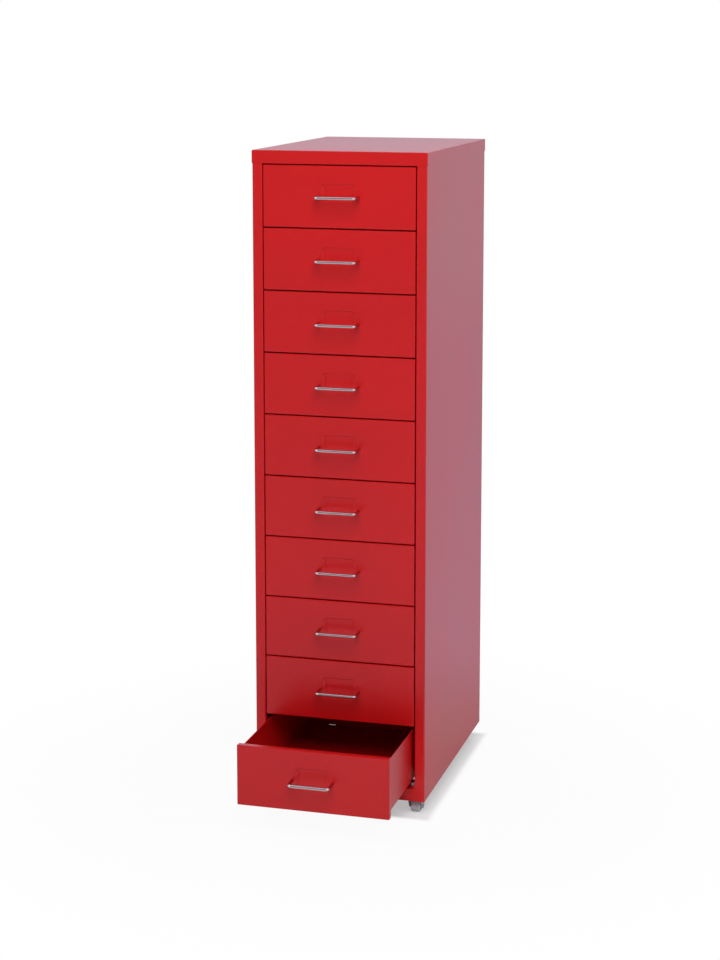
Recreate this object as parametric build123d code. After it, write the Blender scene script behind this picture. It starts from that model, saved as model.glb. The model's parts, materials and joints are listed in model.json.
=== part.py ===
from build123d import *
import os

# Rolling drawer cabinet of folded sheet steel on four swivel casters.
# Millimetres, +X to the right, front faces -Y, +Z up, standing on the plane z = 0.
# Until the last step the front faces of the posts lie in the plane y = 0.

# Overall sizes
case_width = 280.0
case_depth = 410.0
case_height = 1030.0
floor_clearance = 26.0
drawer_count = 10
drawer_pull_at_rest = 149.0

# Case sheet metal
case_sheet = 0.8
case_inside_bend = 1.2
post_width = 16.3
post_return = 11.0
post_return_end_gap = 3.0
cap_sheet = 0.8
cap_inside_bend = 1.0
cap_lip = 20.5
cap_fit = 0.05
back_side_gap = 1.5
rail_sheet = 1.0
rail_inside_bend = 1.2
rail_height = 20.4
rail_depth = 44.0

# Drawer fronts, each a folded pan with a pressed label recess
front_sheet = 0.8
front_inside_bend = 0.5
front_depth = 9.5
front_gap = 2.0
front_side_gap = 1.5
front_top_gap = 2.0
front_bottom_gap = 4.3
label_end_space = 10.4
label_height = 28.0
label_corner = 4.0
label_depth = 1.0
label_rise = 6.0
label_strip_width = 4.8
label_strip_height = 21.5

# Drawer boxes
box_sheet = 0.6
box_inside_bend = 1.0
box_side_inset = 3.7
box_top_drop = 5.5
box_lift = 6.5
box_rear_space = 25.0
hem_height = 6.0
label_window_gap = 0.6
tab_slot_length = 12.0
tab_slot_width = 3.0
tab_slot_spacing = 160.0
tab_slot_setback = 3.0

# Wire handles and their screws
wire_diameter = 5.0
handle_span = 64.0
handle_reach = 25.0
handle_bend = 6.0
screw_diameter = 3.0
screw_engagement = 6.0
screw_tip_space = 1.0
thread_clearance = 0.05
screw_hole_clearance = 0.2
screw_head_diameter = 5.6
screw_head_height = 2.2
screw_head_round = 1.2

# Runners on the inside of the side panels
runner_sheet = 0.8
runner_inside_bend = 0.6
runner_gap = 0.25
runner_side_gap = 0.7
runner_ledge = 12.0
runner_guide = 16.0
runner_flange = 14.0
runner_setback = 30.0
stop_height = 10.0
stop_gap = 0.3

# Casters
caster_front_side_inset = 19.0
caster_rear_side_inset = 36.0
caster_front_gap = 1.0
caster_rear_setback = 24.0
caster_trail = 8.0
wheel_diameter = 25.0
wheel_side_gap = 1.7
wheel_shoulder = 3.0
wheel_recess = 1.5
wheel_rim = 3.5
hub_diameter = 10.0
fork_width = 22.4
fork_length = 15.5
fork_sheet = 2.0
fork_inside_bend = 2.0
fork_tip_radius = 6.0
fork_skirt_gap = 1.0
hub_side_gap = 0.3
axle_diameter = 5.0
axle_fit = 0.05
wheel_fit = 0.08
rivet_diameter = 8.0
rivet_height = 0.9
kingpin_diameter = 10.0
kingpin_fit = 0.08
kingpin_hex = 16.0
kingpin_hex_height = 7.0
kingpin_hex_chamfer = 1.0
kingpin_foot_diameter = 14.0
kingpin_foot_height = 2.4
swivel_gap = 0.25

# How far a cutting tool runs past the face that it cuts
overrun = 1.0

ON_FLOOR = (Align.CENTER, Align.CENTER, Align.MIN)

# Levels and widths that several pieces share
case_bottom = floor_clearance
case_top = case_bottom + case_height
rail_top = case_bottom + rail_height
cap_underside = case_top - cap_sheet
panel_inner_x = case_width / 2 - case_sheet
case_outside_bend = case_inside_bend + case_sheet
panel_height = cap_underside - case_bottom
back_inner_y = case_depth - 2 * case_sheet
opening_width = case_width - 2 * post_width

front_width = opening_width - 2 * front_side_gap
lowest_front = rail_top + front_bottom_gap
highest_front = case_top - cap_lip - front_top_gap
drawer_pitch = (highest_front + front_gap - lowest_front) / drawer_count
front_height = drawer_pitch - front_gap
label_width = handle_span - label_end_space
handle_level = front_height / 2
label_level = handle_level + label_rise
box_width = front_width - 2 * box_side_inset
box_height = front_height - box_top_drop - box_lift
box_front_y = front_sheet
box_back_y = case_depth - box_rear_space
box_length = box_back_y - box_front_y
box_outside_bend = box_inside_bend + box_sheet

wheel_width = fork_width - 2 * (fork_sheet + wheel_side_gap)
axle_level = wheel_diameter / 2
crown_top = rail_top - rail_sheet - swivel_gap
caster_front_x = case_width / 2 - caster_front_side_inset
caster_rear_x = case_width / 2 - caster_rear_side_inset
caster_front_y = front_depth + caster_front_gap + kingpin_hex / 2
caster_rear_y = case_depth - caster_rear_setback
caster_places = {
    "front_left": (-caster_front_x, caster_front_y),
    "front_right": (caster_front_x, caster_front_y),
    "rear_left": (-caster_rear_x, caster_rear_y),
    "rear_right": (caster_rear_x, caster_rear_y),
}


def rounded_block(width, depth, height, radius):
    """A block on the XY plane with its upright edges and its lower edges rounded."""
    block = Box(width, depth, height, align=ON_FLOOR)
    return fillet(block.edges().filter_by(Axis.Z) + block.edges().group_by(Axis.Z)[0], radius)


def tray(width, depth, height, sheet, inside_bend):
    """An open-topped folded tray, its floor's underside on the XY plane."""
    outer = rounded_block(width, depth, height, inside_bend + sheet)
    inner = rounded_block(width - 2 * sheet, depth - 2 * sheet, height, inside_bend)
    return outer - Pos(0, 0, sheet) * inner


def folded_section(points, inside_bend, sheet):
    """Section of a folded strip, from points along the side that the sheet lies to the right of."""
    fold = FilletPolyline(*points, radius=inside_bend + sheet)
    return make_face(offset(fold, sheet, side=Side.RIGHT, closed=True))


def along_y(outline, start, end):
    """An outline drawn in X and Z, extruded between two places along Y."""
    return Pos(0, end, 0) * extrude(Plane.XZ * outline, end - start)


def cross_hole(x, z, radius, start, end):
    """A round cutter along Y."""
    return along_y(Pos(x, z) * Circle(radius), start, end)


def side_panel():
    """The right side: web, post with its return lip, rear flange and top flange in one sheet."""
    length = panel_height + post_width
    pan = Pos(case_width / 2, case_depth / 2, cap_underside - length / 2) * (
        Rot(0, -90, 0) * tray(length, case_depth, post_width, case_sheet, case_inside_bend)
    )
    below = Pos(panel_inner_x, case_depth / 2, case_bottom - length)
    panel = pan - below * Box(case_width, case_depth + overrun, length, align=ON_FLOOR)
    lip_bottom = rail_top + kingpin_hex_height + post_return_end_gap
    lip_height = cap_underside - case_outside_bend - post_return_end_gap - lip_bottom
    edge_x = opening_width / 2
    bend_width = 2 * case_outside_bend
    flat_edge = Pos(edge_x + bend_width / 2, 0, lip_bottom)
    panel -= flat_edge * Box(bend_width, 2 * case_sheet, lip_height, align=ON_FLOOR)
    fold = [(edge_x + bend_width, 0), (edge_x, 0), (edge_x, post_return)]
    lip = extrude(folded_section(fold, case_inside_bend, case_sheet), lip_height)
    return panel + Pos(0, 0, lip_bottom) * lip


def back_panel():
    """Flat sheet that lies against the inside of the side panels' rear flanges."""
    width = 2 * panel_inner_x - 2 * back_side_gap
    height = panel_height - case_outside_bend
    sheet = Box(width, case_sheet, height, align=ON_FLOOR)
    return Pos(0, back_inner_y + case_sheet / 2, case_bottom) * sheet


def top_cap():
    """Folded lid with a lip all round, sitting on the side panels' top flanges."""
    width = case_width + 2 * (cap_fit + cap_sheet)
    depth = case_depth + 2 * (cap_fit + cap_sheet)
    lid = Rot(180, 0, 0) * tray(width, depth, cap_lip, cap_sheet, cap_inside_bend)
    return Pos(0, case_depth / 2, case_top) * lid


def base_rail(front_y, caster_x, caster_y):
    """Inverted tray across the bottom of the case, drilled for two caster kingpins."""
    middle = front_y + rail_depth / 2
    pan = tray(2 * panel_inner_x, rail_depth, rail_height, rail_sheet, rail_inside_bend)
    rail = Pos(0, middle, rail_top) * (Rot(180, 0, 0) * pan)
    bore = Cylinder(kingpin_diameter / 2 + kingpin_fit, rail_height)
    for x in (-caster_x, caster_x):
        rail -= Pos(x, caster_y, rail_top) * bore
    return rail


def drawer_runner(front_level):
    """Right-hand runner: a ledge under the drawer, a guide beside it and a flange on the side panel."""
    ledge_z = front_level + box_lift - runner_gap
    guide_x = box_width / 2 + runner_side_gap
    tip_x = box_width / 2 - runner_ledge
    flange_x = panel_inner_x - runner_sheet
    top_z = ledge_z + runner_guide
    fold = [(tip_x, ledge_z), (guide_x, ledge_z), (guide_x, top_z)]
    fold += [(flange_x, top_z), (flange_x, top_z + runner_flange)]
    section = folded_section(fold, runner_inside_bend, runner_sheet)
    stop_y = box_back_y + stop_gap
    runner = along_y(section, runner_setback, stop_y + runner_sheet)
    stop_width = runner_ledge - runner_inside_bend
    stop = Pos(tip_x + stop_width / 2, stop_y + runner_sheet / 2, ledge_z - runner_sheet)
    return runner + stop * Box(stop_width, runner_sheet, stop_height + runner_sheet, align=ON_FLOOR)


def drawer_front():
    """Front pan with the pressed label recess and the two strips that hold a card in it."""
    pan = Rot(-90, 0, 0) * tray(front_width, front_height, front_depth, front_sheet, front_inside_bend)
    pan = Pos(0, 0, front_height / 2) * pan
    floor_back = label_depth + front_sheet
    bulge = Pos(0, label_level) * RectangleRounded(
        label_width + 2 * front_sheet, label_height + 2 * front_sheet, label_corner + front_sheet
    )
    recess = Pos(0, label_level) * RectangleRounded(label_width, label_height, label_corner)
    pan += along_y(bulge, front_sheet, floor_back)
    pan -= along_y(recess, -overrun, label_depth)
    strip_x = (label_width - label_strip_width) / 2
    for side in (-1, 1):
        strip = Pos(side * strip_x, label_level) * Rectangle(label_strip_width, label_strip_height)
        pan += along_y(strip, 0, front_sheet)
        hole_radius = screw_diameter / 2 + screw_hole_clearance
        pan -= cross_hole(side * handle_span / 2, handle_level, hole_radius, -overrun, front_depth)
    return pan


def drawer_box():
    """Folded drawer box with hemmed sides, a window behind the label recess and two tab slots."""
    box = tray(box_width, box_length, box_height, box_sheet, box_inside_bend)
    hem_length = box_length - 2 * box_outside_bend
    crest = box_height - box_sheet
    hem_face = Pos(0, crest - hem_height / 2) * Rectangle(2 * box_sheet, hem_height)
    hem_face += Pos(0, crest) * Circle(box_sheet)
    hem = along_y(hem_face, -hem_length / 2, hem_length / 2)
    for side in (-1, 1):
        place = Pos(side * (box_width / 2 - box_sheet), 0, 0)
        box -= place * Pos(0, 0, crest) * Box(2 * box_sheet, hem_length, box_sheet, align=ON_FLOOR)
        box += place * hem
    slot_y = box_length / 2 - box_outside_bend - tab_slot_setback
    for side in (-1, 1):
        slot = Box(tab_slot_length, tab_slot_width, box_outside_bend)
        box -= Pos(side * tab_slot_spacing / 2, slot_y, 0) * slot
    box = Pos(0, box_front_y + box_length / 2, box_lift) * box
    margin = 2 * (front_sheet + label_window_gap)
    window = RectangleRounded(
        label_width + margin, label_height + margin, label_corner + front_sheet + label_window_gap
    )
    box -= along_y(Pos(0, label_level) * window, 0, box_front_y + box_outside_bend)
    for side in (-1, 1):
        hole_radius = screw_diameter / 2 + screw_hole_clearance
        reach = box_front_y + box_outside_bend
        box -= cross_hole(side * handle_span / 2, handle_level, hole_radius, 0, reach)
    return box


def wire_handle():
    """Bent wire pull, its two feet on the front and tapped for the screws."""
    half = handle_span / 2
    path = FilletPolyline(
        (-half, 0, handle_level),
        (-half, -handle_reach, handle_level),
        (half, -handle_reach, handle_level),
        (half, 0, handle_level),
        radius=handle_bend,
    )
    wire = sweep(Plane(path @ 0, z_dir=path % 0) * Circle(wire_diameter / 2), path)
    bore_radius = screw_diameter / 2 + thread_clearance
    for side in (-1, 1):
        depth = screw_engagement + screw_tip_space
        wire -= cross_hole(side * half, handle_level, bore_radius, -depth, overrun)
    return wire


def handle_screws():
    """The two pan-head screws that clamp handle, front and box together."""
    head_y = box_front_y + box_sheet
    screws = []
    for side in (-1, 1):
        x = side * handle_span / 2
        shank = cross_hole(x, handle_level, screw_diameter / 2, -screw_engagement, head_y)
        head = cross_hole(x, handle_level, screw_head_diameter / 2, head_y, head_y + screw_head_height)
        head = fillet(head.edges().group_by(Axis.Y)[-1], screw_head_round)
        screws.append(shank + head)
    return Compound(screws)


def caster_kingpins():
    """Hex-headed swivel pins, headed over under the fork crowns."""
    hexagon = RegularPolygon(kingpin_hex / 2, 6, major_radius=False)
    head = extrude(hexagon, kingpin_hex_height)
    head = chamfer(head.edges().group_by(Axis.Z)[-1], kingpin_hex_chamfer)
    shank_length = rail_top - crown_top + fork_sheet + swivel_gap
    pin = head + Pos(0, 0, -shank_length) * Cylinder(
        kingpin_diameter / 2, shank_length, align=ON_FLOOR
    )
    foot_z = -shank_length - kingpin_foot_height
    pin += Pos(0, 0, foot_z) * Cylinder(
        kingpin_foot_diameter / 2, kingpin_foot_height, align=ON_FLOOR
    )
    return Compound([Pos(x, y, rail_top) * pin for x, y in caster_places.values()])


def caster_fork():
    """Folded fork about a swivel axis on Z, its tips round the axle behind that axis."""
    half_width = fork_width / 2
    fold = [(-half_width, 0), (-half_width, crown_top), (half_width, crown_top), (half_width, 0)]
    section = folded_section(fold, fork_inside_bend, fork_sheet)
    reach = fork_length + caster_trail + fork_tip_radius
    arch = along_y(section, -reach, reach)
    skirt = case_bottom + fork_skirt_gap
    shoulder = Line((-fork_length / 2, skirt), (fork_length / 2, skirt))
    tip = Pos(caster_trail, axle_level) * Circle(fork_tip_radius)
    upper = Pos(0, (crown_top + skirt) / 2) * Rectangle(fork_length, crown_top - skirt)
    cheek = upper + make_hull(tip.edges() + [shoulder])
    fork = arch & Pos(-fork_width, 0, 0) * extrude(Plane.YZ * cheek, 2 * fork_width)
    fork -= Pos(0, 0, crown_top) * Cylinder(kingpin_diameter / 2 + kingpin_fit, crown_top)
    axle_hole = Cylinder(axle_diameter / 2 + axle_fit, 2 * fork_width, rotation=(0, 90, 0))
    return fork - Pos(0, caster_trail, axle_level) * axle_hole


def caster_axle():
    """Riveted axle across the fork."""
    pin = Cylinder(axle_diameter / 2, fork_width, rotation=(0, 90, 0))
    for side in (-1, 1):
        head = Cylinder(rivet_diameter / 2, rivet_height, rotation=(0, side * 90, 0))
        pin += Pos(side * (fork_width + rivet_height) / 2, 0, 0) * head
    outer_edges = pin.edges().group_by(Axis.X)[0] + pin.edges().group_by(Axis.X)[-1]
    pin = fillet(outer_edges, rivet_height / 2)
    return Pos(0, caster_trail, axle_level) * pin


def caster_wheel():
    """Solid wheel with rounded shoulders, dished faces and a hub that reaches the fork."""
    radius = wheel_diameter / 2
    half_width = wheel_width / 2
    web_x = half_width - wheel_recess
    hub_x = fork_width / 2 - fork_sheet - hub_side_gap
    hub_radius = hub_diameter / 2
    rim_radius = radius - wheel_rim
    bore_radius = axle_diameter / 2 + wheel_fit
    right = [(hub_x, bore_radius), (hub_x, hub_radius), (web_x, hub_radius), (web_x, rim_radius)]
    right += [(half_width, rim_radius), (half_width, radius)]
    left = [(-x, r) for x, r in reversed(right)]
    profile = make_face(Polyline(*right, *left, close=True))
    corners = profile.vertices().group_by(Axis.Y)[-1]
    profile = fillet(corners, wheel_shoulder)
    wheel = revolve(Plane.XY * profile, Axis.X)
    return Pos(0, caster_trail, axle_level) * wheel


def drawer_nodes(nodes):
    """Each drawer's four pieces, numbered from the top, with the lowest one pulled open."""
    pieces = {
        "front": drawer_front(),
        "box": drawer_box(),
        "handle": wire_handle(),
        "handle_screws": handle_screws(),
    }
    for number in range(1, drawer_count + 1):
        level = lowest_front + (drawer_count - number) * drawer_pitch
        pull = drawer_pull_at_rest if number == drawer_count else 0
        for name, piece in pieces.items():
            nodes[f"drawer_{number:02d}_{name}"] = Pos(0, -pull, level) * piece


def case_nodes(nodes):
    """The fixed carcass with its runners and the caster kingpins."""
    right = side_panel()
    nodes["right_side_panel"] = right
    nodes["left_side_panel"] = mirror(right, Plane.YZ)
    nodes["back_panel"] = back_panel()
    nodes["top_cap"] = top_cap()
    nodes["front_base_rail"] = base_rail(case_sheet, caster_front_x, caster_front_y)
    nodes["rear_base_rail"] = base_rail(back_inner_y - rail_depth, caster_rear_x, caster_rear_y)
    runners = []
    for index in range(drawer_count):
        runner = drawer_runner(lowest_front + index * drawer_pitch)
        runners += [runner, mirror(runner, Plane.YZ)]
    nodes["drawer_runners"] = Compound(runners)
    nodes["caster_kingpins"] = caster_kingpins()


def caster_nodes(nodes):
    """Fork, axle and wheel of each caster, all trailing towards the back."""
    pieces = {"fork": caster_fork(), "axle": caster_axle(), "wheel": caster_wheel()}
    for place, (x, y) in caster_places.items():
        for name, piece in pieces.items():
            nodes[f"{place}_caster_{name}"] = Pos(x, y, 0) * piece


def main():
    nodes = {}
    case_nodes(nodes)
    drawer_nodes(nodes)
    caster_nodes(nodes)
    # The origin is under the middle of the whole, open drawer and handle included.
    front_reach = drawer_pull_at_rest + handle_reach + wire_diameter / 2
    back_reach = case_depth + cap_fit + cap_sheet
    centring = Pos(0, (front_reach - back_reach) / 2, 0)
    os.makedirs("parts", exist_ok=True)
    for name, shape in nodes.items():
        export_step(centring * shape, f"parts/{name}.step")


main()
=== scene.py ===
import json
from math import cos, pi, radians, sin

import bmesh
import bpy
from bpy.props import FloatProperty, FloatVectorProperty, IntProperty, PointerProperty
from mathutils import Matrix, Vector

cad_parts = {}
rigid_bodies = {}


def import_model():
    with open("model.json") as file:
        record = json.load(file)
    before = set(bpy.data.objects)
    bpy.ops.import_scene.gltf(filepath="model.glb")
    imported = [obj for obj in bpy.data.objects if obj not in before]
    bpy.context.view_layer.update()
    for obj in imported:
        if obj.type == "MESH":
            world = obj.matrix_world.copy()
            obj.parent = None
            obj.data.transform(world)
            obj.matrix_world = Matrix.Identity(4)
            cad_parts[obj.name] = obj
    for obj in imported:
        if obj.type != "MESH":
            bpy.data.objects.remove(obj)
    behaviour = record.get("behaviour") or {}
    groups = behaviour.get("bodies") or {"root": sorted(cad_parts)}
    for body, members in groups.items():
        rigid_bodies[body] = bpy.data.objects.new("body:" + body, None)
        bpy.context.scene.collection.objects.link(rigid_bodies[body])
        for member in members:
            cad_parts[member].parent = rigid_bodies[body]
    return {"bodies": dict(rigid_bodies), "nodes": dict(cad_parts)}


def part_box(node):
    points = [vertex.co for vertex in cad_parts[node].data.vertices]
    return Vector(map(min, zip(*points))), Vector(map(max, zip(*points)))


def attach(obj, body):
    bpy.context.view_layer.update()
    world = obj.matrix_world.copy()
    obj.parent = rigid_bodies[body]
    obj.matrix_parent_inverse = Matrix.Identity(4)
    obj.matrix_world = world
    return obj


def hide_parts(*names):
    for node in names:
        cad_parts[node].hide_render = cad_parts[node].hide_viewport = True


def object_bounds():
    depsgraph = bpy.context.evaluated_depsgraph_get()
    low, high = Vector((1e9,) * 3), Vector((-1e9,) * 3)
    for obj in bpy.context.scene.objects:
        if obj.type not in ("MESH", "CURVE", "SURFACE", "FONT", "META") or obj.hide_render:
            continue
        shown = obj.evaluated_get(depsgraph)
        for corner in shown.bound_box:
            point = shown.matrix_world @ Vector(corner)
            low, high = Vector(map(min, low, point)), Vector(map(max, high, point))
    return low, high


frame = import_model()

bl_info = {
    "name": "Folded drawer cabinet",
    "version": (1, 0, 0),
    "blender": (4, 5, 0),
    "location": "3D View > Sidebar > Cabinet",
    "description": "Dresses a sheet-steel drawer cabinet: fronts, handles, screws, casters and finishes",
    "category": "Object",
}

# Metres, in the frame of the solids: +X to the right, the front faces -Y, +Z up, the floor at z = 0.
CAD_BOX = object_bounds()

DRAWERS = sorted(name for name in frame["bodies"] if name.startswith("drawer_"))
FORK_ENDING = "_caster_fork"
CASTERS = sorted(name[: -len(FORK_ENDING)] for name in frame["bodies"] if name.endswith(FORK_ENDING))
CASE_SHEETS = (
    "right_side_panel",
    "left_side_panel",
    "back_panel",
    "top_cap",
    "front_base_rail",
    "rear_base_rail",
    "drawer_runners",
)

WHITE = (1.0, 1.0, 1.0, 1.0)
SHARP_ANGLE = radians(40)
MERGE_DISTANCE = 1e-6
# Narrow flat kept beside each rounded edge, so that the large flats stay flat in their shading
HOLDING_FLAT = 0.0003

# How many steps, sides and rings the curved forms are drawn in
CORNER_STEPS = 6
BEND_STEPS = 6
CARD_STRIP_STEPS = 8
CARD_STRIP_TIP_STEPS = 6
CARD_STRIP_END_STEPS = 3
WIRE_BEND_STEPS = 10
WIRE_SIDES = 20
SCREW_SIDES = 24
SCREW_RINGS = 6
WHEEL_SIDES = 48
WHEEL_EDGE_STEPS = 3
WHEEL_SHOULDER_STEPS = 6
FLOOR_SIDES = 96


def node_size(node):
    """Width, depth and height of a solid of the frame."""
    low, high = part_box(node)
    return high - low


FRONT_SIZE = node_size(f"{DRAWERS[0]}_front")
HANDLE_SIZE = node_size(f"{DRAWERS[0]}_handle")
SCREW_SIZE = node_size(f"{DRAWERS[0]}_handle_screws")
WHEEL_SIZE = node_size(f"{CASTERS[0]}_caster_wheel")


def length(name, description, default):
    """A size in metres that a user can change."""
    return FloatProperty(name=name, description=description, default=default, unit="LENGTH", precision=5)


def power(name, description, default):
    """A lamp's power in watts that a user can change."""
    return FloatProperty(name=name, description=description, default=default, unit="POWER", min=0.0)


def colour(name, description, default):
    """A linear colour that a user can change."""
    return FloatVectorProperty(
        name=name, description=description, default=default, subtype="COLOR", size=3, min=0.0, max=1.0
    )


class CabinetFrontSizes(bpy.types.PropertyGroup):
    """Sizes of the folded drawer fronts and their label holders."""

    sheet: length("Sheet", "Thickness of the front's sheet", 0.0008)
    bend: length("Bend", "Outside radius of the folds", 0.0013)
    label_width: length("Label width", "Width of the pressed label recess", 0.0536)
    label_height: length("Label height", "Height of the pressed label recess", 0.028)
    label_corner: length("Label corner", "Corner radius of the recess", 0.004)
    label_depth: length("Label depth", "Depth of the recess", 0.001)
    label_rise: length("Label rise", "Height of the recess's middle above the handle", 0.006)
    label_edge: length("Label edge", "Radius of the pressed edges", 0.0005)
    strip_width: length("Strip width", "How far each card strip reaches over the recess", 0.0048)
    strip_height: length("Strip height", "Length of each card strip", 0.0215)
    strip_lift: length("Strip lift", "How far the card strips stand in front of the face", 0.0004)


class CabinetHandleSizes(bpy.types.PropertyGroup):
    """Sizes of the bent wire handles."""

    wire: length("Wire", "Diameter of the wire", HANDLE_SIZE.z)
    bend: length("Bend", "Radius of the wire's middle line at the two bends", 0.006)
    foot: length("Foot", "Chamfer where each end meets the front", 0.0004)


class CabinetScrewSizes(bpy.types.PropertyGroup):
    """Sizes of the pan-head screws."""

    head: length("Head", "Diameter of the head", SCREW_SIZE.z)
    height: length("Height", "Height of the head", 0.0022)
    recess_length: length("Recess length", "Length of each arm of the cross recess", 0.0034)
    recess_width: length("Recess width", "Width of each arm of the cross recess", 0.0007)
    recess_depth: length("Recess depth", "Depth of the cross recess", 0.0012)
    back_count: IntProperty(name="Back screws", description="Screws in each rear flange", default=6, min=2)
    seed: IntProperty(name="Seed", description="Seed of the angle at which each screw stops", default=7)


class CabinetWheelSizes(bpy.types.PropertyGroup):
    """Sizes of the moulded wheels."""

    tyre: length("Tyre", "Width of the running surface with its shoulders", 0.015)
    shoulder: length("Shoulder", "Radius of the shoulders", 0.003)
    rim: length("Rim", "Thickness of the rim round the dished face", 0.0035)
    dish: length("Dish", "Depth of the dished face", 0.0015)
    hub: length("Hub", "Diameter of the hub", 0.010)
    bore: length("Bore", "Diameter of the bore", 0.0051)
    edge: length("Edge", "Radius of the moulded edges", 0.0004)
    rib: length("Rib", "Thickness of the spokes in the dished face", 0.0013)
    ribs: IntProperty(name="Spokes", description="Spokes on each face", default=6, min=3)


class CabinetFinishes(bpy.types.PropertyGroup):
    """Colours of the finishes."""

    paint: colour("Paint", "Red of the powder coat", (0.52, 0.006, 0.007))
    # The wire's tint is warmed to pink: on top of the plate's own grey, it is a painted reflection of the red
    # paint round the handles
    chrome: colour("Chrome", "Tint of the plated wire", (0.58, 0.485, 0.47))
    zinc: colour("Zinc", "Tint of the zinc plate", (0.42, 0.43, 0.46))
    plastic: colour("Plastic", "Grey of the wheels", (0.55, 0.53, 0.56))


class CabinetStage(bpy.types.PropertyGroup):
    """Floor, lamps and surroundings."""

    floor_radius: length("Floor radius", "Radius of the floor", 6.0)
    shadow_radius: length("Shadow radius", "Radius round the object inside which the floor takes shadow", 0.9)
    shadow_edge: length("Shadow edge", "How far the dark floor under the case fades outwards", 0.015)
    floor_dark: colour("Floor dark", "Darker tone of the pale floor", (0.86, 0.86, 0.87))
    floor_pale: colour("Floor pale", "Paler tone of the pale floor", (0.90, 0.90, 0.90))
    ambient: colour("Ambient", "Soft light from all round", (0.08, 0.08, 0.10))
    backdrop: colour("Backdrop", "Cool white of the backdrop in reflections", (0.77, 0.86, 1.0))
    sheen: colour("Sheen", "Cool white of the floor in reflections", (0.78, 0.79, 1.0))
    room: colour("Room", "Dimmer studio behind the camera in reflections", (0.33, 0.32, 0.26))
    key_power: power("Key power", "Power of the large lamp before the front", 69.0)
    fill_power: power("Fill power", "Power of the lamp on the right", 10.5)
    rear_power: power("Rear power", "Power of the lamp behind the left side", 48.0)


class Signal:
    """An output of a node; arithmetic on it adds Math nodes to its tree."""

    def __init__(self, graph, node, socket):
        self.graph = graph
        self.node = node
        self.socket = socket

    def out(self, key):
        """Another output of the same node, by its name or number."""
        return Signal(self.graph, self.node, self.node.outputs[key])

    def __add__(self, other):
        return self.graph.math("ADD", self, other)

    def __radd__(self, other):
        return self.graph.math("ADD", other, self)

    def __sub__(self, other):
        return self.graph.math("SUBTRACT", self, other)

    def __rsub__(self, other):
        return self.graph.math("SUBTRACT", other, self)

    def __mul__(self, other):
        return self.graph.math("MULTIPLY", self, other)

    def __rmul__(self, other):
        return self.graph.math("MULTIPLY", other, self)

    def __truediv__(self, other):
        return self.graph.math("DIVIDE", self, other)

    def __rtruediv__(self, other):
        return self.graph.math("DIVIDE", other, self)

    def __pow__(self, other):
        return self.graph.math("POWER", self, other)

    def __rpow__(self, other):
        return self.graph.math("POWER", other, self)

    def __abs__(self):
        return self.graph.math("ABSOLUTE", self)


class Graph:
    """A node tree that is being built."""

    # Numbers of the outputs that a Mix node gives colours on and a Random Value node gives floats on
    MIXED_COLOUR = 2
    RANDOM_FLOAT = 1

    def __init__(self, tree):
        self.tree = tree

    def node(self, kind, settings=None, sockets=None):
        """Adds a node, sets it up, and gives its sockets values or links; a list is several links."""
        made = self.tree.nodes.new(kind)
        for name, value in (settings or {}).items():
            setattr(made, name, value)
        for key, value in (sockets or {}).items():
            if isinstance(key, int):
                socket = made.inputs[key]
            else:
                socket = next(s for s in made.inputs if key in (s.identifier, s.name))
            for item in value if isinstance(value, list) else [value]:
                if isinstance(item, Signal):
                    self.tree.links.new(item.socket, socket)
                else:
                    socket.default_value = item
        return Signal(self, made, made.outputs[0] if made.outputs else None)

    def math(self, operation, *values):
        """A Math node on signals and numbers."""
        return self.node("ShaderNodeMath", {"operation": operation}, dict(enumerate(values)))

    def noise(self, place, scale, detail):
        """Grey noise between 0 and 1, with features of about 1 / scale metres."""
        return self.node("ShaderNodeTexNoise", None, {"Vector": place, "Scale": scale, "Detail": detail})

    def ramp(self, value, low, high):
        """0 below low, 1 above high, smooth between them."""
        settings = {"interpolation_type": "SMOOTHSTEP"}
        return self.node("ShaderNodeMapRange", settings, {"Value": value, "From Min": low, "From Max": high})

    def band(self, value, rise, fall):
        """1 between two smooth edges, each given by its two limits."""
        return self.ramp(value, *rise) * (1.0 - self.ramp(value, *fall))

    def mix(self, factor, first, second):
        """A colour between two others."""
        sockets = {"Factor_Float": factor, "A_Color": first, "B_Color": second}
        return self.node("ShaderNodeMix", {"data_type": "RGBA"}, sockets).out(self.MIXED_COLOUR)

    def shades(self, factor, tint, darker, lighter):
        """A colour between a darker and a lighter share of itself."""
        return self.mix(factor, rgba(tint, darker), rgba(tint, lighter))

    def bump(self, height, strength, distance):
        """A normal from a height, with the depth of the relief in metres."""
        sockets = {"Height": height, "Strength": strength, "Distance": distance}
        return self.node("ShaderNodeBump", None, sockets)

    def xyz(self, vector):
        """A vector taken apart; its parts are the outputs X, Y and Z."""
        return self.node("ShaderNodeSeparateXYZ", None, {"Vector": vector})

    def vector(self, **parts):
        """A vector put together from its parts."""
        return self.node("ShaderNodeCombineXYZ", None, parts)


def rgba(tint, gain=1.0):
    """A colour with its brightness scaled, for a socket."""
    return tuple(min(1.0, part * gain) for part in tint) + (1.0,)


def new_material(name):
    """An empty node material, its graph and its Object coordinates."""
    material = bpy.data.materials.new(name)
    material.use_nodes = True
    material.node_tree.nodes.clear()
    graph = Graph(material.node_tree)
    return material, graph, graph.node("ShaderNodeTexCoord").out("Object")


def close_material(graph, shader):
    """Ends a material with its shader."""
    graph.node("ShaderNodeOutputMaterial", None, {"Surface": shader})


def surface(graph, sockets):
    """Closes a material with one Principled shader."""
    close_material(graph, graph.node("ShaderNodeBsdfPrincipled", None, sockets))


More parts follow.
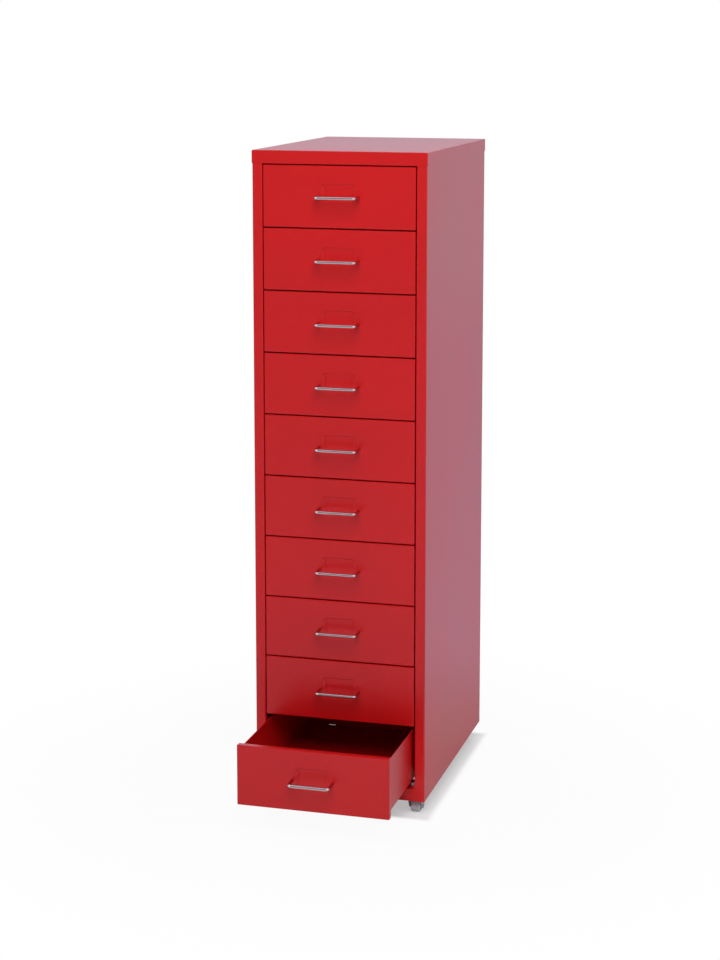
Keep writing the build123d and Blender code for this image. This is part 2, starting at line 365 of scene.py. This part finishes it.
def powder_coat(name, tint):
    """Semi-gloss powder coat: a slight drift of colour and gloss, and fine orange peel."""
    drift_shade, grain_shade = 0.9, 0.1
    least_rough, drift_rough, grain_rough = 0.285, 0.05, 0.02
    grain_height = 0.5
    _, graph, place = new_material(name)
    drift = graph.noise(place, scale=5.0, detail=3.0)
    grain = graph.noise(place, scale=420.0, detail=2.0)
    peel = graph.noise(place, scale=800.0, detail=1.0)
    shade = graph.ramp(drift * drift_shade + grain * grain_shade, low=0.3, high=0.7)
    surface(graph, {
        "Base Color": graph.shades(shade, tint, darker=0.96, lighter=1.04),
        "Roughness": least_rough + drift * drift_rough + grain * grain_rough,
        "Specular IOR Level": 0.4,
        "Normal": graph.bump(peel + grain * grain_height, strength=0.05, distance=0.0002),
    })


def chrome_plate(name, tint):
    """Bright chrome on drawn wire, with faint drawing lines and handling haze."""
    least_rough, haze_rough, line_rough = 0.07, 0.06, 0.05
    lines_per_metre = (120.0, 2500.0, 2500.0)
    _, graph, place = new_material(name)
    haze = graph.noise(place, scale=60.0, detail=3.0)
    drawn = graph.node("ShaderNodeMapping", None, {"Vector": place, "Scale": lines_per_metre})
    lines = graph.noise(drawn, scale=1.0, detail=2.0)
    surface(graph, {
        # The tint holds a painted pink reflection of the red paint round the wire, on top of the plate's own
        # grey
        "Base Color": graph.shades(haze, tint, darker=0.94, lighter=1.04),
        "Metallic": 1.0,
        "Roughness": least_rough + haze * haze_rough + lines * line_rough,
        "Normal": graph.bump(lines, strength=0.05, distance=0.0001),
    })


def zinc_plate(name, tint):
    """Dull zinc plate with a fine spangle and paler, rougher patches."""
    spangles_per_metre = 700.0
    cell_tone, patch_tone = 0.4, 0.6
    least_rough, patch_rough, cell_rough = 0.32, 0.2, 0.06
    _, graph, place = new_material(name)
    spangle = graph.node("ShaderNodeTexVoronoi", None, {"Vector": place, "Scale": spangles_per_metre})
    cells = graph.node("ShaderNodeSeparateColor", None, {"Color": spangle.out("Color")})
    patch = graph.noise(place, scale=90.0, detail=4.0)
    tone = graph.ramp(cells * cell_tone + patch * patch_tone, low=0.2, high=0.8)
    surface(graph, {
        "Base Color": graph.shades(tone, tint, darker=0.8, lighter=1.15),
        "Metallic": 1.0,
        "Roughness": least_rough + patch * patch_rough + cells * cell_rough,
        "Normal": graph.bump(patch, strength=0.08, distance=0.0002),
    })


def moulded_plastic(name, tint):
    """Satin grey plastic with a fine moulded texture and paler scuffs."""
    scuff_shade = 0.5
    least_rough, texture_rough, scuff_rough = 0.42, 0.1, 0.15
    _, graph, place = new_material(name)
    scuff = graph.ramp(graph.noise(place, scale=240.0, detail=5.0), low=0.5, high=0.75)
    texture = graph.noise(place, scale=2200.0, detail=2.0)
    surface(graph, {
        "Base Color": graph.shades(scuff * scuff_shade, tint, darker=0.95, lighter=1.3),
        "Roughness": least_rough + texture * texture_rough + scuff * scuff_rough,
        "Normal": graph.bump(texture, strength=0.1, distance=0.0001),
    })


FINISHES = {
    "red_paint": (powder_coat, "paint"),
    "chrome_wire": (chrome_plate, "chrome"),
    "zinc_plate": (zinc_plate, "zinc"),
    "grey_plastic": (moulded_plastic, "plastic"),
}


def finish(slot):
    """The material of one of the record's slots, made when it is first asked for."""
    name = f"{slot}_finish"
    if name not in bpy.data.materials:
        recipe, tint = FINISHES[slot]
        recipe(name, getattr(bpy.context.scene.cabinet_finishes, tint))
    return bpy.data.materials[name]


def coat_node(node, slot):
    """Gives a solid of the frame its finish."""
    materials = frame["nodes"][node].data.materials
    materials.clear()
    materials.append(finish(slot))


def place_piece(name, mesh, body, slot, node=None):
    """Puts a finished mesh on a body, in place of a solid where one is named."""
    mesh.name = name
    mesh.materials.clear()
    mesh.materials.append(finish(slot))
    mesh.shade_smooth()
    mesh.set_sharp_from_angle(angle=SHARP_ANGLE)
    piece = bpy.data.objects.new(name, mesh)
    bpy.context.scene.collection.objects.link(piece)
    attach(piece, body)
    if node:
        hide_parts(node)


def to_mesh(bm):
    """A closed mesh with merged points and outward faces."""
    bmesh.ops.remove_doubles(bm, verts=bm.verts, dist=MERGE_DISTANCE)
    bmesh.ops.recalc_face_normals(bm, faces=bm.faces)
    mesh = bpy.data.meshes.new("piece")
    bm.to_mesh(mesh)
    bm.free()
    return mesh


def moved_copy(mesh, offset):
    """A copy of a mesh at another place."""
    copy = mesh.copy()
    copy.transform(Matrix.Translation(offset))
    return copy


def loft(bm, loops):
    """A closed skin through loops of equal count, capped at both ends."""
    rings = [[bm.verts.new(point) for point in loop] for loop in loops]
    for near, far in zip(rings, rings[1:]):
        for i in range(len(near)):
            j = (i + 1) % len(near)
            bm.faces.new((near[i], near[j], far[j], far[i]))
    bm.faces.new(list(reversed(rings[0])))
    bm.faces.new(rings[-1])


def lathe_x(bm, profile, segments):
    """A ring about the X axis from a closed profile of (x, radius) points."""
    rings = []
    for k in range(segments):
        angle = 2 * pi * k / segments
        rings.append([bm.verts.new((x, r * cos(angle), r * sin(angle))) for x, r in profile])
    for k in range(segments):
        near, far = rings[k], rings[(k + 1) % segments]
        for i in range(len(profile)):
            j = (i + 1) % len(profile)
            bm.faces.new((near[i], near[j], far[j], far[i]))


def quarter(steps):
    """Sine and cosine at even steps over a quarter turn."""
    return [(sin(pi / 2 * k / steps), cos(pi / 2 * k / steps)) for k in range(steps + 1)]


def rounded_ring(width, height, corner, middle_z, y):
    """A rounded rectangle in X and Z at one depth, as a loop of points."""
    corner = max(corner, 0.0)
    loop = []
    for turn, (sx, sz) in enumerate(((1, 1), (-1, 1), (-1, -1), (1, -1))):
        for step in range(CORNER_STEPS + 1):
            angle = (turn + step / CORNER_STEPS) * pi / 2
            x = sx * (width / 2 - corner) + corner * cos(angle)
            z = sz * (height / 2 - corner) + corner * sin(angle)
            loop.append(Vector((x, y, middle_z + z)))
    return loop


def front_loops(s):
    """Loops of a front's skin, from the face of its label recess over the folds to the recess's back."""
    width, depth, height = FRONT_SIZE
    middle = height / 2
    label = middle + s.label_rise
    inside_bend = s.bend - s.sheet
    edge = s.label_edge

    def face(inset, y):
        return rounded_ring(width - 2 * inset, height - 2 * inset, s.bend - inset, middle, y)

    def recess(grow, y):
        across, up = s.label_width + 2 * grow, s.label_height + 2 * grow
        return rounded_ring(across, up, s.label_corner + grow, label, y)

    arc = quarter(BEND_STEPS)
    loops = [recess(-edge - HOLDING_FLAT, s.label_depth)]
    loops += [recess(-edge + edge * sn, s.label_depth - edge + edge * cs) for sn, cs in arc]
    loops += [recess(edge - edge * cs, edge - edge * sn) for sn, cs in arc]
    loops.append(recess(edge + HOLDING_FLAT, 0.0))
    loops.append(face(s.bend + HOLDING_FLAT, 0.0))
    loops += [face(s.bend * (1 - sn), s.bend * (1 - cs)) for sn, cs in arc]
    loops.append(face(0.0, s.bend + HOLDING_FLAT))
    loops.append(face(0.0, depth))
    loops.append(face(s.sheet, depth))
    loops.append(face(s.sheet, s.bend + HOLDING_FLAT))
    loops += [face(s.bend - inside_bend * sn, s.bend - inside_bend * cs) for sn, cs in reversed(arc)]
    loops.append(face(s.bend + HOLDING_FLAT, s.sheet))
    loops.append(recess(s.sheet + HOLDING_FLAT, s.sheet))
    loops.append(recess(s.sheet, s.sheet))
    loops.append(recess(s.sheet, s.label_depth + s.sheet))
    return loops


# Card strips: how far the root lies behind the sheet's middle, as a share of the pressed edge's radius,
# the share of its width over which a strip rises, and the share of its thickness left at its two ends
CARD_STRIP_ROOT_SHARE = 0.25
CARD_STRIP_RISE_SHARE = 0.5
CARD_STRIP_END_SHARE = 0.2


def eased(share):
    """A share between 0 and 1, slow at both ends."""
    return share * share * (3 - 2 * share)


def strip_loops(s, side):
    """Loops up one card strip, which is rooted in the side wall of the recess and stands a little proud."""
    root = s.label_width / 2 + s.label_edge
    free = s.label_width / 2 - s.strip_width
    half = s.sheet / 2
    behind = s.label_edge * CARD_STRIP_ROOT_SHARE
    label = FRONT_SIZE.z / 2 + s.label_rise
    spine = []
    for k in range(CARD_STRIP_STEPS + 1):
        share = k / CARD_STRIP_STEPS
        rise = eased(min(1.0, share / CARD_STRIP_RISE_SHARE))
        spine.append((root + (free + half - root) * share, half + behind - (s.strip_lift + behind) * rise))
    tip_x, tip_y = spine[-1]
    ends = quarter(CARD_STRIP_END_STEPS)
    loops = []
    for end in (-1, 1):
        for sn, _ in ends if end < 0 else reversed(ends):
            z = label + end * (s.strip_height / 2 - half * (1 - sn))
            thin = half * max(sn, CARD_STRIP_END_SHARE)
            outline = [(x, y - thin) for x, y in spine]
            for k in range(1, CARD_STRIP_TIP_STEPS):
                angle = pi * k / CARD_STRIP_TIP_STEPS
                outline.append((tip_x - thin * sin(angle), tip_y - thin * cos(angle)))
            outline += [(x, y + thin) for x, y in reversed(spine)]
            loops.append([Vector((side * x, y, z)) for x, y in outline])
    return loops


class CABINET_OT_coat_sheets(bpy.types.Operator):
    """Coat the folded sheets of the case and the drawer boxes"""

    bl_idname = "cabinet.coat_sheets"
    bl_label = "Coat the sheets"

    def execute(self, context):
        for node in CASE_SHEETS:
            coat_node(node, "red_paint")
        for drawer in DRAWERS:
            coat_node(f"{drawer}_box", "red_paint")
        return {"FINISHED"}


class CABINET_OT_press_fronts(bpy.types.Operator):
    """Fold the drawer fronts and press their label holders"""

    bl_idname = "cabinet.press_fronts"
    bl_label = "Press the fronts"

    def execute(self, context):
        sizes = context.scene.cabinet_fronts
        bm = bmesh.new()
        loft(bm, front_loops(sizes))
        for side in (-1, 1):
            loft(bm, strip_loops(sizes, side))
        pressed = to_mesh(bm)
        for drawer in DRAWERS:
            low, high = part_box(f"{drawer}_front")
            mesh = moved_copy(pressed, Vector(((low.x + high.x) / 2, low.y, low.z)))
            place_piece(f"{drawer}_pressed_front", mesh, drawer, "red_paint", f"{drawer}_front")
        bpy.data.meshes.remove(pressed)
        return {"FINISHED"}


def handle_path(span, reach, bend):
    """Middle line of the wire in X and Y, as points with the direction of travel."""
    half = span / 2
    path = [((-half, 0.0), -pi / 2), ((-half, bend - reach), -pi / 2)]
    for k in range(1, WIRE_BEND_STEPS + 1):
        angle = pi / 2 * k / WIRE_BEND_STEPS
        point = (-half + bend * (1 - cos(angle)), bend - reach - bend * sin(angle))
        path.append((point, angle - pi / 2))
    path += [((-x, y), -turn) for (x, y), turn in reversed(path)]
    return path


def handle_loops(s):
    """Loops along the bent wire, chamfered at its two feet."""
    radius = s.wire / 2
    path = handle_path(HANDLE_SIZE.x - s.wire, HANDLE_SIZE.y - radius, s.bend)
    (start, start_turn), (end, end_turn) = path[0], path[-1]
    stations = [(start, start_turn, radius - s.foot), ((start[0], -s.foot), start_turn, radius)]
    stations += [(point, turn, radius) for point, turn in path[1:-1]]
    stations += [((end[0], -s.foot), end_turn, radius), (end, end_turn, radius - s.foot)]
    loops = []
    for (x, y), turn, girth in stations:
        loop = []
        for k in range(WIRE_SIDES):
            angle = 2 * pi * k / WIRE_SIDES
            across = girth * cos(angle)
            loop.append(Vector((x - across * sin(turn), y + across * cos(turn), girth * sin(angle))))
        loops.append(loop)
    return loops


class CABINET_OT_bend_handles(bpy.types.Operator):
    """Bend the wire handles"""

    bl_idname = "cabinet.bend_handles"
    bl_label = "Bend the handles"

    def execute(self, context):
        bm = bmesh.new()
        loft(bm, handle_loops(context.scene.cabinet_handles))
        bent = to_mesh(bm)
        for drawer in DRAWERS:
            low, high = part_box(f"{drawer}_handle")
            mesh = moved_copy(bent, Vector(((low.x + high.x) / 2, high.y, (low.z + high.z) / 2)))
            place_piece(f"{drawer}_wire_handle", mesh, drawer, "chrome_wire", f"{drawer}_handle")
        bpy.data.meshes.remove(bent)
        return {"FINISHED"}


def node_tree(name, inputs):
    """A Geometry Nodes tree with named inputs; returns it with its graph and its group input."""
    tree = bpy.data.node_groups.new(name, "GeometryNodeTree")
    for title, kind in inputs.items():
        tree.interface.new_socket(title, in_out="INPUT", socket_type=kind)
    tree.interface.new_socket("Geometry", in_out="OUTPUT", socket_type="NodeSocketGeometry")
    graph = Graph(tree)
    return tree, graph, graph.node("NodeGroupInput")


def close_tree(graph, geometry, material):
    """Ends a tree: instances become plain mesh, and the mesh takes its material."""
    real = graph.node("GeometryNodeRealizeInstances", None, {"Geometry": geometry})
    coated = graph.node("GeometryNodeSetMaterial", None, {"Geometry": real, "Material": material})
    graph.node("NodeGroupOutput", None, {0: coated})


# Crown of a screw head: the share of its plan area that is drawn in at the top, and how late it draws in
CROWN_SHARE = 0.72
CROWN_POWER = 3.0


def screw_tree():
    """Pan-head screws that face +Y, one on each point of a mesh."""
    tree, graph, given = node_tree("pan_head_screws", {
        "Geometry": "NodeSocketGeometry",
        "Head Diameter": "NodeSocketFloat",
        "Head Height": "NodeSocketFloat",
        "Recess Length": "NodeSocketFloat",
        "Recess Width": "NodeSocketFloat",
        "Recess Depth": "NodeSocketFloat",
        "Seed": "NodeSocketInt",
        "Material": "NodeSocketMaterial",
    })
    tall = given.out("Head Height")
    blank = graph.node("GeometryNodeMeshCylinder", {"fill_type": "NGON"}, {
        "Vertices": SCREW_SIDES,
        "Side Segments": SCREW_RINGS,
        "Radius": given.out("Head Diameter") * 0.5,
        "Depth": tall,
    })
    place = graph.xyz(graph.node("GeometryNodeInputPosition"))
    x, y, z = (place.out(axis) for axis in "XYZ")
    height_share = z / tall + 0.5
    girth = (1.0 - height_share ** CROWN_POWER * CROWN_SHARE) ** 0.5
    crowned = graph.vector(X=x * girth, Y=y * girth, Z=z + tall * 0.5)
    head = graph.node("GeometryNodeSetPosition", None, {"Geometry": blank, "Position": crowned})
    arms = []
    for along, across in ("XY", "YX"):
        size = {along: given.out("Recess Length"), across: given.out("Recess Width")}
        size = graph.vector(**size, Z=given.out("Recess Depth") * 2.0)
        arm = graph.node("GeometryNodeMeshCube", None, {"Size": size})
        raised = {"Geometry": arm, "Translation": graph.vector(Z=tall)}
        arms.append(graph.node("GeometryNodeTransform", None, raised))
    cutters = {"Mesh 1": head, "Mesh 2": arms}
    cut = graph.node("GeometryNodeMeshBoolean", {"operation": "DIFFERENCE"}, cutters)
    half_turn = {"Max_001": pi, "Seed": given.out("Seed")}
    stop = graph.node("FunctionNodeRandomValue", {"data_type": "FLOAT"}, half_turn).out(Graph.RANDOM_FLOAT)
    screws = graph.node("GeometryNodeInstanceOnPoints", None, {
        "Points": given.out("Geometry"),
        "Instance": cut,
        "Rotation": graph.vector(X=-pi / 2, Y=stop),
    })
    close_tree(graph, screws, given.out("Material"))
    return tree


def run_tree(tree, mesh, values):
    """What a tree makes of a mesh, as a plain mesh."""
    host = bpy.data.objects.new("host", mesh)
    bpy.context.scene.collection.objects.link(host)
    modifier = host.modifiers.new("tree", "NODES")
    modifier.node_group = tree
    for item in tree.interface.items_tree:
        if item.item_type == "SOCKET" and item.in_out == "INPUT" and item.name in values:
            modifier[item.identifier] = values[item.name]
    bpy.context.view_layer.update()
    result = bpy.data.meshes.new_from_object(host.evaluated_get(bpy.context.evaluated_depsgraph_get()))
    host.modifiers.remove(modifier)
    bpy.data.objects.remove(host)
    if not result.polygons:
        raise RuntimeError(f"{tree.name} made no faces")
    return result


def seats_mesh(places):
    """A mesh of loose points, one for each screw."""
    mesh = bpy.data.meshes.new("seats")
    mesh.from_pydata([tuple(place) for place in places], [], [])
    return mesh


# Back screws: the bare end of a flange in flange widths, and the place of the cap's two screws as a
# share of the way out to the flanges' screws
FLANGE_END_SHARE = 2.0
CAP_SCREW_SHARE = 0.75


def back_screw_places(count):
    """Places on the rear flanges of the side panels and on the rear lip of the cap."""
    places = []
    cap_low, cap_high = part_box("top_cap")
    for node in ("left_side_panel", "right_side_panel"):
        low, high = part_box(node)
        x = (low.x + high.x) / 2
        margin = FLANGE_END_SHARE * (high.x - low.x)
        bottom, top = low.z + margin, cap_low.z - margin
        for k in range(count):
            places.append(Vector((x, high.y, bottom + (top - bottom) * k / (count - 1))))
        places.append(Vector((x * CAP_SCREW_SHARE, cap_high.y, (cap_low.z + cap_high.z) / 2)))
    return places


class CABINET_OT_drive_screws(bpy.types.Operator):
    """Drive the screws behind the handles and in the back"""

    bl_idname = "cabinet.drive_screws"
    bl_label = "Drive the screws"

    def execute(self, context):
        sizes = context.scene.cabinet_screws
        tree = screw_tree()
        values = {
            "Head Diameter": sizes.head,
            "Head Height": sizes.height,
            "Recess Length": sizes.recess_length,
            "Recess Width": sizes.recess_width,
            "Recess Depth": sizes.recess_depth,
            "Seed": sizes.seed,
            "Material": finish("zinc_plate"),
        }
        for number, drawer in enumerate(DRAWERS):
            node = f"{drawer}_handle_screws"
            low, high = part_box(node)
            z = (low.z + high.z) / 2
            seat_y = high.y - sizes.height
            seats = [Vector((x, seat_y, z)) for x in (low.x + sizes.head / 2, high.x - sizes.head / 2)]
            heads = run_tree(tree, seats_mesh(seats), {**values, "Seed": sizes.seed + number})
            place_piece(f"{drawer}_pan_screws", heads, drawer, "zinc_plate", node)
        heads = run_tree(tree, seats_mesh(back_screw_places(sizes.back_count)), values)
        place_piece("back_pan_screws", heads, "case", "zinc_plate")
        return {"FINISHED"}


def wheel_profile(s):
    """Closed profile of the wheel in X and radius, with rounded shoulders and moulded edges."""
    radius = WHEEL_SIZE.z / 2
    half = s.tyre / 2
    web = half - s.dish
    rim = radius - s.rim
    hub_x = WHEEL_SIZE.x / 2
    hub = s.hub / 2
    edge = quarter(WHEEL_EDGE_STEPS)[1:]
    shoulder = quarter(WHEEL_SHOULDER_STEPS)
    right = [(hub_x, s.bore / 2), (hub_x, hub - s.edge)]
    right += [(hub_x - s.edge * (1 - cs), hub - s.edge + s.edge * sn) for sn, cs in edge]
    right += [(web, hub), (web, rim), (half - s.edge, rim)]
    right += [(half - s.edge + s.edge * sn, rim + s.edge * (1 - cs)) for sn, cs in edge]
    right += [(half - s.shoulder * (1 - cs), radius - s.shoulder + s.shoulder * sn) for sn, cs in shoulder]
    return right + [(-x, r) for x, r in reversed(right)]


def spoke_tree():
    """Adds spokes about the X axis to both faces of a wheel."""
    tree, graph, given = node_tree("moulded_spokes", {
        "Geometry": "NodeSocketGeometry",
        "Spokes": "NodeSocketInt",
        "Inner Radius": "NodeSocketFloat",
        "Outer Radius": "NodeSocketFloat",
        "Thickness": "NodeSocketFloat",
        "Height": "NodeSocketFloat",
        "Material": "NodeSocketMaterial",
    })
    inner, outer = given.out("Inner Radius"), given.out("Outer Radius")
    ring = {"Vertices": given.out("Spokes"), "Radius": (inner + outer) * 0.5}
    circle = graph.node("GeometryNodeMeshCircle", None, ring)
    turned = graph.node("GeometryNodeTransform", None, {"Geometry": circle, "Rotation": (0.0, pi / 2, 0.0)})
    angle = graph.node("GeometryNodeInputIndex") * (2 * pi) / given.out("Spokes")
    size = graph.vector(X=given.out("Height"), Y=given.out("Thickness"), Z=outer - inner)
    bar = graph.node("GeometryNodeMeshCube", None, {"Size": size})
    placed = {"Points": turned, "Instance": bar, "Rotation": graph.vector(X=angle)}
    spokes = graph.node("GeometryNodeInstanceOnPoints", None, placed)
    joined = graph.node("GeometryNodeJoinGeometry", None, {"Geometry": [given.out("Geometry"), spokes]})
    close_tree(graph, joined, given.out("Material"))
    return tree


class CABINET_OT_mould_wheels(bpy.types.Operator):
    """Mould the wheels and plate the casters' metal"""

    bl_idname = "cabinet.mould_wheels"
    bl_label = "Mould the wheels"

    def execute(self, context):
        s = context.scene.cabinet_wheels
        tree = spoke_tree()
        values = {
            "Spokes": s.ribs,
            "Inner Radius": s.hub / 2 - s.edge,
            "Outer Radius": WHEEL_SIZE.z / 2 - s.rim + s.edge,
            "Thickness": s.rib,
            "Height": s.tyre - s.edge * 2,
            "Material": finish("grey_plastic"),
        }
        for place in CASTERS:
            wheel = f"{place}_caster_wheel"
            low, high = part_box(wheel)
            bm = bmesh.new()
            lathe_x(bm, wheel_profile(s), WHEEL_SIDES)
            moulded = run_tree(tree, to_mesh(bm), values)
            moulded.transform(Matrix.Translation((low + high) / 2))
            place_piece(f"{place}_moulded_wheel", moulded, wheel, "grey_plastic", wheel)
            coat_node(f"{place}{FORK_ENDING}", "zinc_plate")
            coat_node(f"{place}_caster_axle", "zinc_plate")
        coat_node("caster_kingpins", "zinc_plate")
        return {"FINISHED"}


# The camera's place, its tilt and turn, and its lens and shift on a 36 mm frame, as in the photograph
CAMERA_PLACE = Vector((0.8963, -3.1975, 1.2458))
CAMERA_TURN = (radians(81.446), 0.0, radians(15.637))
CAMERA_LENS = 78.28
CAMERA_RISE = -0.1458
SENSOR_WIDTH = 36.0

# Each lamp's place from the object's middle, and its size, both in heights of the object
LAMPS = {
    "key": (Vector((0.55, -1.95, 1.7)), 1.6),
    "fill": (Vector((2.3, 0.2, 0.7)), 1.4),
    "rear": (Vector((-1.5, 2.1, -0.1)), 1.4),
}

# White that the camera sees in the floor: under the case, added round it, and added again far off
UNDER_WHITE = 0.42
ROUND_WHITE = 0.53
FAR_WHITE = 0.05
# White that mirrors show in the floor round the case, and what is added far off
MIRROR_ROUND_WHITE = 0.1
MIRROR_FAR_WHITE = 0.8
# Share of the shadow radius at which the floor starts to run out to white
SHADOW_CORE_SHARE = 0.3

# Surroundings in reflections, as limits on the X, Y or Z of a direction: the studio before the front
# gives way to the backdrop, and has a foot, a top, a dark core and a strip lamp on either side
BACKDROP_START = (-0.5, 0.25)
STUDIO_FOOT, STUDIO_TOP = (-0.15, 0.0), (0.6, 0.9)
CORE_FOOT, CORE_TOP = (0.05, 0.15), (0.45, 0.6)
CORE_SHARE = 0.25
STRIP_LAMP_INNER, STRIP_LAMP_OUTER = (0.58, 0.68), (0.84, 0.94)
STRIP_LAMP_GAIN = 1.3
SKY_FOOT = (0.0, 0.15)
SKY_GAIN = 0.14


def ray_kinds(graph):
    """1 for what the camera sees, and 1 for what a mirror or clear glass shows."""
    path = graph.node("ShaderNodeLightPath")
    mirrored = path.out("Is Glossy Ray") + path.out("Is Transmission Ray")
    return path.out("Is Camera Ray"), graph.math("MINIMUM", mirrored, 1.0)


def beyond_case(graph, place, edge):
    """0 under the case, rising to 1 over a margin round it."""
    low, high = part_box("top_cap")
    parts = graph.xyz(place)
    outside = 0.0
    for axis, near, far in (("X", low.x, high.x), ("Y", low.y, high.y)):
        middle, half = (near + far) / 2, (far - near) / 2
        offset = abs(parts.out(axis) - middle) - half
        outside = graph.math("MAXIMUM", offset, outside)
    return graph.ramp(outside, 0.0, edge)


def pale_floor(stage):
    """Pale floor that takes the object's shadow and runs out to white."""
    material, graph, place = new_material("pale_floor")
    far = graph.node("ShaderNodeVectorMath", {"operation": "LENGTH"}, {0: place}).out("Value")
    away = graph.ramp(far, stage.shadow_radius * SHADOW_CORE_SHARE, stage.shadow_radius)
    outside = beyond_case(graph, place, stage.shadow_edge)
    grain = graph.noise(place, scale=40.0, detail=3.0)
    tone = graph.mix(grain, rgba(stage.floor_dark), rgba(stage.floor_pale))
    matt = graph.node("ShaderNodeBsdfPrincipled", None, {"Base Color": tone, "Roughness": 0.8})
    camera, mirrored = ray_kinds(graph)
    shown = graph.mix(mirrored, WHITE, rgba(stage.sheen))
    white = graph.node("ShaderNodeEmission", None, {"Color": shown, "Strength": 1.0})
    seen = UNDER_WHITE + outside * (ROUND_WHITE + away * FAR_WHITE)
    share = camera * seen + mirrored * outside * (MIRROR_ROUND_WHITE + away * MIRROR_FAR_WHITE)
    close_material(graph, graph.node("ShaderNodeMixShader", None, {0: share, 1: matt, 2: white}))
    return material


def lay_floor(stage):
    """A disc on the floor's level."""
    bm = bmesh.new()
    bmesh.ops.create_circle(bm, cap_ends=True, radius=stage.floor_radius, segments=FLOOR_SIDES)
    mesh = bpy.data.meshes.new("floor")
    bm.to_mesh(mesh)
    bm.free()
    mesh.materials.append(pale_floor(stage))
    floor = bpy.data.objects.new("floor", mesh)
    bpy.context.scene.collection.objects.link(floor)


def soft_world(stage):
    """Even light from all round, white where it is seen directly, and a studio in reflections."""
    world = bpy.data.worlds.new("studio")
    bpy.context.scene.world = world
    world.use_nodes = True
    world.node_tree.nodes.clear()
    graph = Graph(world.node_tree)
    direction = graph.xyz(graph.node("ShaderNodeTexCoord").out("Generated"))
    x, y, z = (direction.out(axis) for axis in "XYZ")
    before = (1.0 - graph.ramp(y, *BACKDROP_START)) * graph.band(z, STUDIO_FOOT, STUDIO_TOP)
    core = graph.band(z, CORE_FOOT, CORE_TOP)
    studio = graph.mix(core, rgba(stage.room), rgba(stage.room, CORE_SHARE))
    strips = graph.band(abs(x), STRIP_LAMP_INNER, STRIP_LAMP_OUTER) * before
    reflected = graph.mix(strips, graph.mix(before, rgba(stage.backdrop), studio), WHITE)
    camera, mirrored = ray_kinds(graph)
    lit = graph.mix(mirrored, rgba(stage.ambient), reflected)
    strength = 1.0 + mirrored * (graph.ramp(z, *SKY_FOOT) * SKY_GAIN + strips * STRIP_LAMP_GAIN)
    shown = {"Color": graph.mix(camera, lit, WHITE), "Strength": strength}
    light = graph.node("ShaderNodeBackground", None, shown)
    graph.node("ShaderNodeOutputWorld", None, {"Surface": light})


def hang_lamps(stage):
    """Square soft lamps that face the object's middle."""
    low, high = CAD_BOX
    middle = (low + high) / 2
    tall = high.z - low.z
    for name, (place, size) in LAMPS.items():
        data = bpy.data.lights.new(name, "AREA")
        data.shape = "SQUARE"
        data.size = size * tall
        data.energy = getattr(stage, f"{name}_power")
        lamp = bpy.data.objects.new(name, data)
        lamp.location = middle + place * tall
        lamp.rotation_euler = (middle - lamp.location).to_track_quat("-Z", "Y").to_euler()
        lamp.visible_glossy = False
        bpy.context.scene.collection.objects.link(lamp)


def place_camera(scene):
    """The camera at the photograph's viewing angle."""
    data = bpy.data.cameras.new("camera")
    data.sensor_width = SENSOR_WIDTH
    data.lens = CAMERA_LENS
    data.shift_y = CAMERA_RISE
    camera = bpy.data.objects.new("camera", data)
    camera.location = CAMERA_PLACE
    camera.rotation_euler = CAMERA_TURN
    scene.collection.objects.link(camera)
    scene.camera = camera


class CABINET_OT_set_stage(bpy.types.Operator):
    """Lay the floor, hang the lamps and place the camera"""

    bl_idname = "cabinet.set_stage"
    bl_label = "Set the stage"

    def execute(self, context):
        stage = context.scene.cabinet_stage
        context.scene.view_settings.view_transform = "Standard"
        lay_floor(stage)
        soft_world(stage)
        hang_lamps(stage)
        place_camera(context.scene)
        return {"FINISHED"}


OPERATORS = (
    CABINET_OT_coat_sheets,
    CABINET_OT_press_fronts,
    CABINET_OT_bend_handles,
    CABINET_OT_drive_screws,
    CABINET_OT_mould_wheels,
    CABINET_OT_set_stage,
)


class CABINET_PT_pieces(bpy.types.Panel):
    """The cabinet's pieces, in the order in which they are made"""

    bl_idname = "CABINET_PT_pieces"
    bl_label = "Drawer cabinet"
    bl_space_type = "VIEW_3D"
    bl_region_type = "UI"
    bl_category = "Cabinet"

    def draw(self, context):
        for operator in OPERATORS:
            self.layout.operator(operator.bl_idname)


PROPERTIES = {
    "cabinet_fronts": CabinetFrontSizes,
    "cabinet_handles": CabinetHandleSizes,
    "cabinet_screws": CabinetScrewSizes,
    "cabinet_wheels": CabinetWheelSizes,
    "cabinet_finishes": CabinetFinishes,
    "cabinet_stage": CabinetStage,
}


def register():
    for name, group in PROPERTIES.items():
        bpy.utils.register_class(group)
        setattr(bpy.types.Scene, name, PointerProperty(type=group))
    for operator in OPERATORS:
        bpy.utils.register_class(operator)
    bpy.utils.register_class(CABINET_PT_pieces)


def unregister():
    bpy.utils.unregister_class(CABINET_PT_pieces)
    for operator in reversed(OPERATORS):
        bpy.utils.unregister_class(operator)
    for name, group in PROPERTIES.items():
        delattr(bpy.types.Scene, name)
        bpy.utils.unregister_class(group)


def main():
    register()
    bpy.ops.cabinet.coat_sheets()
    bpy.ops.cabinet.press_fronts()
    bpy.ops.cabinet.bend_handles()
    bpy.ops.cabinet.drive_screws()
    bpy.ops.cabinet.mould_wheels()
    bpy.ops.cabinet.set_stage()


if __name__ == "__main__":
    main()
